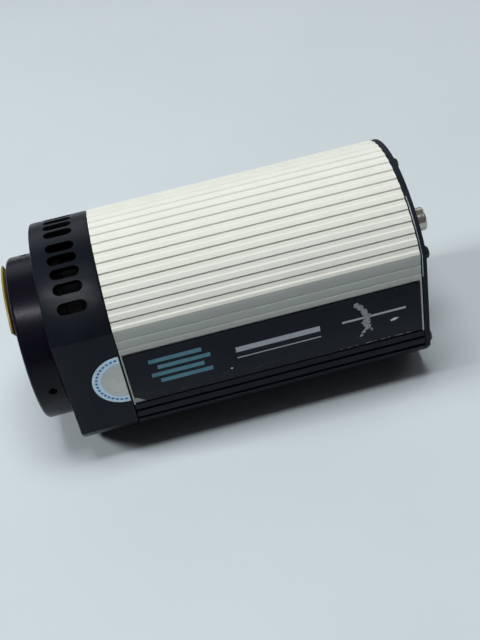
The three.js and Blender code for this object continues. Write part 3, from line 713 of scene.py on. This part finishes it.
def side_film(side):
    """A printed film on one side: -1 is the near side and 1 the far side."""
    name = "left" if side < 0 else "right"
    back = side * (FLAT_Y - LABEL_DEPTH + 0.15)
    face = back + side * FILM_THICK
    film = prism("side_label_%s_fine" % name, film_outline(side < 0), min(back, face), max(back, face), "y")
    dress(bevel(film, 0.12, 2), FILM, ["side_label_" + name])

    def patch(label, outline, material, lift=0.02):
        """A thin print or scuff on the film. Each one stands at its own height."""
        points = outline if side < 0 else [(SHELL_L + GAP - x, z) for x, z in outline]
        top = face + side * lift
        dress(prism("%s_%s" % (label, name), points, min(face, top), max(face, top), "y"), material)

    def bar(label, x0, x1, z0, z1, material):
        patch(label, [(x0, z0), (x1, z0), (x1, z1), (x0, z1)], material)

    for i, (start, end) in enumerate(((10, 31), (13, 34), (10, 31), (13, 34))):
        bar("teal_bar_%d" % (i + 1), start, end, 3.9 - 3.6 * i, 5.9 - 3.6 * i, INK_TEAL)
    bar("light_bar_long", 44, 78, -1.4, 1.2, INK_LIGHT)
    bar("light_bar_thin", 44, 78, -4.6, -4.1, INK_LIGHT)
    bar("light_bar_rear", 87, 113, -0.8, 0.2, INK_LIGHT)
    if side < 0:
        for i, (x, z, rx, rz, lean) in enumerate(SCUFFS):
            patch("scuff_%d" % (i + 1), blob(x, z, rx, rz, 3.1 + 1.7 * i, lean), SCUFF, 0.03 + 0.004 * i)
        patch("chip_rear", blob(108.1, -5.0, 1.4, 0.6, 2.2, 0.9), CHIP, 0.03)
        for i, (x, half) in enumerate(FLAKES):
            patch("flake_%d" % (i + 1), blob(x, SPLIT_Z + 0.9, half, 0.12, 5.3 + 1.3 * i), SCUFF, 0.03)
        patch("chip_front", blob(41.0, -9.0, 0.5, 0.35, 4.4), CHIP, 0.03)


upper_shell()
lower_shell()
bosses()
side_film(-1)
side_film(1)


# ---- Fasteners, rear plate and sockets -------------------------------------------------

def button_screw(name, x, y, z, node, material=BLACK_STEEL, head_r=2.5, head_l=1.6,
                 shank_r=1.3, shank_l=9.0):
    """A screw with a domed head and a hexagonal key hole."""
    dome = [(x - head_l * 0.72 * (1 - math.cos(t)), head_r * (0.55 + 0.45 * math.sin(t)))
            for t in quarter(6)]
    under, tip = x - head_l, x - head_l - shank_l
    profile = [(x, 0)] + dome + [(under, head_r), (under, shank_r), (tip, shank_r), (tip, 0)]
    head = lathe(name, profile, 48, y, z, closed=False)
    head = combine(head, [rod("key", x - 1.1, x + 1, 1.25, y, z, 6)])
    return dress(head, material, [node])


def rear_plate():
    plate = bevel(prism("rear_plate_fine", body_outline(), PLATE_X, PLATE_END), 0.25, 3, 60)
    start, end = PLATE_X - 1, PLATE_END + 1
    tools = [rod("hole", start, end, r, 0, z) for r, z in ((5, SOCKET_Z), (4.8, POWER_Z), (1.7, LAMP_Z))]
    tools += [rod("hole", start, end, 1.8, y, z, 24) for y, z in REAR_SCREWS]
    tools += [block("hole", start, end, y - 6.8, y + 6.8, DATA_Z - 3.8, DATA_Z + 3.8) for y in DATA_SOCKETS]
    slot = slot_outline(REAR_SLOT_L, REAR_SLOT_W, 8)
    tools += [prism("slot", [(REAR_SLOT_PITCH * i + b, REAR_SLOT_Z + a) for a, b in slot], start, end)
              for i in range(-4, 5)]
    dress(combine(plate, tools), BLACK, ["rear_plate"], smooth=28)
    for i, (y, z) in enumerate(REAR_SCREWS):
        button_screw("rear_plate_screw_fine_%d" % (i + 1), PLATE_END + GAP + 1.6, y, z,
                     "rear_plate_screw_%d" % (i + 1))


def plate_edge_strip():
    """A thin bright metal strip along the plate's front edge on the near side, beside the shell."""
    steps = 120
    verts, faces = [], []
    for i in range(steps + 1):
        y, z = polar(BODY_R + 0.03, 17 + 45 * i / steps)
        width = 0.30 + 0.32 * noise.noise(Vector((0.9 * i, 0.0, 4.0)))
        for x in (PLATE_X + 0.22, PLATE_X + 0.22 + max(width, 0.04)):
            verts.append((x, -min(y, FLAT_Y + 0.03), z))
        if i:
            n = 2 * i
            faces.append([n - 2, n - 1, n + 1, n])
    dress(mesh_object("rear_plate_edge_strip", verts, faces), BRIGHT_EDGE_METAL)


def signal_socket():
    end, base = SOCKET_END, PLATE_END + GAP
    thread = []
    x = 113.0
    while x < base - 0.8:
        thread += [(x, 4.7), (x + 0.35, 4.4)]
        x += 0.7
    shank = [(112.5, 1.9), (112.5, 4.5)] + thread + [(base, 4.6)]
    collar = [(base, 6.2), (base + 0.2, 6.4), (base + 1.4, 6.4), (base + 1.6, 6.2), (base + 1.6, 5.1)]
    neck = [(end - 6.8, 5.1), (end - 6.5, 4.85), (end - 6.1, 4.85), (end - 5.8, 5.1)]
    mouth = [(end - 2.6, 5.1), (end - 2.5, 4.95), (end - 0.5, 4.95), (end, 4.6), (end, 4.25),
             (end - 0.2, 4.1)]
    bore = [(base + 2.4, 4.1), (base + 2.4, 1.9)]
    body = lathe("signal_socket_body_fine", shank + collar + neck + mouth + bore, 96, 0, SOCKET_Z)
    lug_outline = [(end - 4.4 + a, SOCKET_Z + b) for a, b in circle(1, 24)]
    lugs = [bevel(prism("lug", lug_outline, low, low + 1.2, "y"), 0.15) for low in (4.6, -5.8)]
    dress(combine(body, lugs, "UNION"), NICKEL, ["signal_socket_body"])
    ring_profile = [(base + 2.6, 1.1), (base + 2.6, 3.8), (end - 2.9, 3.8), (end - 2.6, 3.5),
                    (end - 2.6, 2.6), (end - 4.5, 2.4), (end - 4.5, 1.1)]
    ring = lathe("signal_socket_insulator_fine", ring_profile, 64, 0, SOCKET_Z)
    dress(ring, WHITE_PLASTIC, ["signal_socket_insulator"])
    contact_profile = [(112, 0), (112, 0.8), (end - 1.9, 0.8), (end - 1.6, 0.65), (end - 1.6, 0.35),
                       (end - 4, 0.35), (end - 4, 0)]
    contact = lathe("signal_socket_contact_fine", contact_profile, 32, 0, SOCKET_Z, closed=False)
    dress(contact, BRASS, ["signal_socket_contact"])
    nut = rod("signal_socket_nut_fine", PLATE_X - 3, PLATE_X - GAP, 7.2, 0, SOCKET_Z, 6)
    nut = bevel(combine(nut, [rod("bore", PLATE_X - 4, PLATE_X, 5, 0, SOCKET_Z)]), 0.3)
    dress(nut, NICKEL, ["signal_socket_nut"])


def data_socket(i, y):
    x0, x1 = PLATE_X - 11, PLATE_END + 0.8
    shell = block("data_socket_shell_fine_%d" % i, x0, x1, y - 6.5, y + 6.5, DATA_Z - 3.5, DATA_Z + 3.5)
    bevel(shell, 0.7, 4)
    hole = bevel(block("hole", x0 + 1.2, x1 + 1, y - 5.9, y + 5.9, DATA_Z - 2.9, DATA_Z + 2.9), 0.5, 4)
    dress(combine(shell, [hole]), STEEL, ["data_socket_shell_%d" % i])
    tongue = block("data_socket_tongue_fine_%d" % i, PLATE_X - 9.5, PLATE_END - 0.4, y - 4.4, y + 4.4,
                   DATA_Z - 0.9, DATA_Z + 0.9)
    dress(bevel(tongue, 0.2), PLASTIC, ["data_socket_tongue_%d" % i])
    for j in range(4):
        cy = y - 3.0 + 2.0 * j
        strip = block("data_contact_%d_%d" % (i, j + 1), PLATE_X - 8, PLATE_END - 1.0, cy - 0.5, cy + 0.5,
                      DATA_Z + 0.9, DATA_Z + 1.05)
        dress(bevel(strip, 0.05, 1), BRASS)


def power_and_lamp():
    x = PLATE_END + GAP
    body_profile = [(110, 0), (110, 4.5), (x, 4.5), (x, 6.0), (x + 0.2, 6.2), (x + 1.4, 6.2), (x + 1.8, 5.7),
                    (x + 1.8, 3.7), (x + 1.5, 3.4), (112, 3.4), (112, 0)]
    body = lathe("power_socket_body_fine", body_profile, 72, 0, POWER_Z, closed=False)
    dress(body, PLASTIC, ["power_socket_body"])
    pin_profile = [(112.3, 0), (112.3, 1), (PLATE_END + 0.2, 1), (PLATE_END + 0.6, 0.6), (PLATE_END + 0.6, 0)]
    pin = lathe("power_socket_pin_fine", pin_profile, 32, 0, POWER_Z, closed=False)
    dress(pin, NICKEL, ["power_socket_pin"])
    dome = [(PLATE_END + 0.3 + math.sin(t), 1.4 * math.cos(t)) for t in quarter(8)[:-1]]
    lamp_profile = [(PLATE_X - 5, 0), (PLATE_X - 5, 1.4)] + dome + [(PLATE_END + 1.3, 0)]
    lamp = lathe("status_lamp_fine", lamp_profile, 32, 0, LAMP_Z, closed=False)
    dress(lamp, LAMP, ["status_lamp"])


rear_plate()
plate_edge_strip()
signal_socket()
for number, socket_y in enumerate(DATA_SOCKETS, 1):
    data_socket(number, socket_y)
power_and_lamp()


# ---- Tripod pad ------------------------------------------------------------------------

def tripod_mount():
    corners = [(38, -14), (41, -17), (79, -17), (82, -14), (82, 14), (79, 17), (41, 17), (38, 14)]
    pad = bevel(prism("tripod_pad_fine", corners, PAD_BOTTOM, BASE_Z - GAP, "z"), 0.3, 2)
    tools = [upright_hole(TRIPOD_X, BUSH_HOLE_R, 45, PAD_BOTTOM - 1, BASE_Z)]
    for x in PAD_SCREWS:
        tools.append(upright_hole(x, PAD_SCREW_HOLE_R, 24, PAD_BOTTOM - 1, BASE_Z))
        tools.append(upright_hole(x, 3.2, 36, PAD_BOTTOM - 1, PAD_BOTTOM + 1.8))
    dress(combine(pad, tools), MILLED, ["tripod_pad"])
    profile = [(PAD_BOTTOM + 0.4, 3.5), (PAD_BOTTOM + 0.4, 5.7), (PAD_BOTTOM + 0.7, 6), (BASE_Z + 3.3, 6),
               (BASE_Z + 3.3, 9), (BASE_Z + 5.8, 9), (BASE_Z + 5.8, 0), (BASE_Z + 4.5, 0),
               (BASE_Z + 4.5, 3.2)]
    z = BASE_Z + 4.2
    while z > PAD_BOTTOM + 1.6:
        profile += [(z, 3.6), (z - 0.6, 3.2)]
        z -= 1.27
    bush = lathe("tripod_bush_fine", profile, 64, closed=True)
    dress(stand_up(bush, TRIPOD_X, 0, -90), BRASS, ["tripod_bush"], smooth=20)
    for i, x in enumerate(PAD_SCREWS):
        screw = button_screw("tripod_pad_screw_fine_%d" % (i + 1), 0, 0, 0, "tripod_pad_screw_%d" % (i + 1),
                             STEEL, 2.9, 1.5, 1.4, 6.0)
        stand_up(screw, x, PAD_BOTTOM + 0.2, 90)


tripod_mount()


# ---- Fan -------------------------------------------------------------------------------

def fan_blade():
    """A twisted and cambered blade along Z, built from cross-sections between its root and its tip."""
    sections, across, half = 8, 6, 4.4
    verts, faces = [], []

    def at(s, t, k):
        return (s * (across + 1) + t) * 2 + k

    for s in range(sections + 1):
        r = BLADE_ROOT_R + (BLADE_TIP_R - BLADE_ROOT_R) * s / sections
        pitch = math.radians(46 - 18 * s / sections)
        for t in range(across + 1):
            c = -half + 2 * half * t / across
            camber = 0.9 * (1 - (c / half) ** 2)
            for k in (-0.45, 0.45):
                x = 52.6 + c * math.cos(pitch) + (camber + k) * math.sin(pitch)
                y = -c * math.sin(pitch) + (camber + k) * math.cos(pitch)
                verts.append((x, y, r))
    for s in range(sections):
        for t in range(across):
            for k in (0, 1):
                faces.append([at(s, t, k), at(s, t + 1, k), at(s + 1, t + 1, k), at(s + 1, t, k)])
        for t in (0, across):
            faces.append([at(s, t, 0), at(s, t, 1), at(s + 1, t, 1), at(s + 1, t, 0)])
    for s in (0, sections):
        for t in range(across):
            faces.append([at(s, t, 0), at(s, t, 1), at(s, t + 1, 1), at(s, t + 1, 0)])
    return mesh_object("blade", verts, faces)


def fan():
    casing = prism("fan_frame_fine", [(-28, -28), (28, -28), (28, 28), (-28, 28)], FAN_FRONT, FAN_END)
    bevel(casing, 1.2, 4)
    casing = combine(casing, [rod("bore", FAN_FRONT - 1, FAN_END + 1, FAN_BORE_R, segments=96)])
    arms = [around_axis(block("arm", FAN_END - 2, FAN_END, 9, 28, -1.6, 1.6), a) for a in (45, 135, 225, 315)]
    casing = combine(casing, arms + [rod("hub", FAN_END - 2, FAN_END, 10)], "UNION")
    dress(casing, PLASTIC, ["fan_frame"])
    hub_profile = [(47.5, 0), (47.5, 8.8), (47.8, 9.4), (48.4, 9.8), (57.6, 9.8), (57.6, 0)]
    hub = lathe("fan_rotor_fine", hub_profile, 72, closed=False)
    blades = [around_axis(fan_blade(), 360 / BLADES * i) for i in range(BLADES)]
    dress(combine(hub, blades, "UNION"), PLASTIC, ["fan_rotor"], body="fan")


fan()


# ---- CAD pieces that keep their shape --------------------------------------------------

# These nodes get a material here and no finer mesh. The chamber and the window holder take the near-black
# matt material, partly painted shade seen through the slots.
KEPT = {
    "entrance_window": GLASS, "window_gasket": RUBBER, "sensor_chamber": MATT_BLACK_AND_SHADE,
    "window_holder": MATT_BLACK_AND_SHADE, "desiccant_plug": STEEL, "sensor_glass": GLASS,
    "image_sensor": SENSOR, "sensor_board": BOARD, "cold_finger": COPPER,
    "peltier_module": CERAMIC, "heat_sink": RAW_ALUMINIUM, "main_board": BOARD, "power_board": BOARD,
    "main_processor": PLASTIC, "power_coil": COPPER, "sensor_ribbon": AMBER,
}
for number in range(1, 5):
    KEPT["board_standoff_%d" % number] = BRASS
for number in range(1, 4):
    KEPT["capacitor_%d" % number] = AMBER
for name, material in KEPT.items():
    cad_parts[name].data.materials.clear()
    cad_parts[name].data.materials.append(material)


# ---- Stage, light and camera -----------------------------------------------------------

def stage():
    mesh = bpy.data.meshes.new("floor")
    mesh.from_pydata([(-3, -3, 0), (3, -3, 0), (3, 3, 0), (-3, 3, 0)], [], [(0, 1, 2, 3)])
    floor = bpy.data.objects.new("floor", mesh)
    bpy.context.scene.collection.objects.link(floor)
    g = Graph("pale_floor")
    tone = g.mix(g.ramp(g.noise(6.0, 5.0), 0.35, 0.65), rgb(0.430, 0.490, 0.525), rgb(0.415, 0.475, 0.510))
    g.feed(g.shader.inputs["Base Color"], tone)
    g.feed(g.shader.inputs["Roughness"], g.ramp(g.noise(20.0), 0.3, 0.7, (0.45, 0.6)))
    mesh.materials.append(g.mat)


def area_light(name, location, target, size, power, color):
    data = bpy.data.lights.new(name, "AREA")
    data.shape = "RECTANGLE"
    data.size, data.size_y = size
    data.energy = power
    data.color = color
    light = bpy.data.objects.new(name, data)
    light.location = location
    light.rotation_euler = (Vector(target) - Vector(location)).to_track_quat("-Z", "Y").to_euler()
    bpy.context.scene.collection.objects.link(light)
    return light


def lights():
    world = bpy.data.worlds.new("studio")
    bpy.context.scene.world = world
    world.use_nodes = True
    world.node_tree.nodes["Background"].inputs["Color"].default_value = (1.0, 0.94, 0.95, 1.0)
    world.node_tree.nodes["Background"].inputs["Strength"].default_value = 0.058
    overhead = area_light("overhead", (0, -0.03, 1.5), (0, 0, 0), (0.8, 0.5), 21, (1.0, 0.99, 0.97))
    overhead.visible_glossy = False
    side = area_light("side", (-1.3, 0.06, 0.95), (0, 0, 0), (0.35, 0.35), 20, (1.0, 0.99, 0.97))
    side.visible_glossy = False
    strip = area_light("strip", (-0.17, -0.43, 1.32), (0, 0, 0.04), (0.9, 0.04), 8.0, (0.95, 0.97, 1.0))
    strip.visible_diffuse = False
    back_panel = area_light("back_panel", (0, 1.3, 0.75), (0, 0, 0.04), (1.6, 0.8), 3.4, (0.90, 0.95, 1.0))
    back_panel.visible_diffuse = False
    area_light("rear_fill", (1.4, 0.8, 0.8), (0, 0, 0.04), (1.0, 1.0), 4, (0.97, 0.98, 1.0))


def camera():
    """The viewpoint: above the near side, a little towards the nose, with a slight roll."""
    data = bpy.data.cameras.new("camera")
    data.sensor_width = 36.0
    data.lens = 61.19
    obj = bpy.data.objects.new("camera", data)
    bpy.context.scene.collection.objects.link(obj)
    forward = Vector((0.05844, 0.74940, -0.65953)).normalized()
    right = Vector((0.96736, -0.20570, -0.14802)).normalized()
    up = right.cross(forward)
    right = forward.cross(up)
    obj.matrix_world = Matrix.Translation(place((23.73, -348.07, 287.41))) @ \
        Matrix((right, up, -forward)).transposed().to_4x4()
    data.clip_start, data.clip_end = 0.01, 20
    bpy.context.scene.camera = obj


stage()
lights()
camera()
bpy.context.scene.view_settings.view_transform = "Standard"
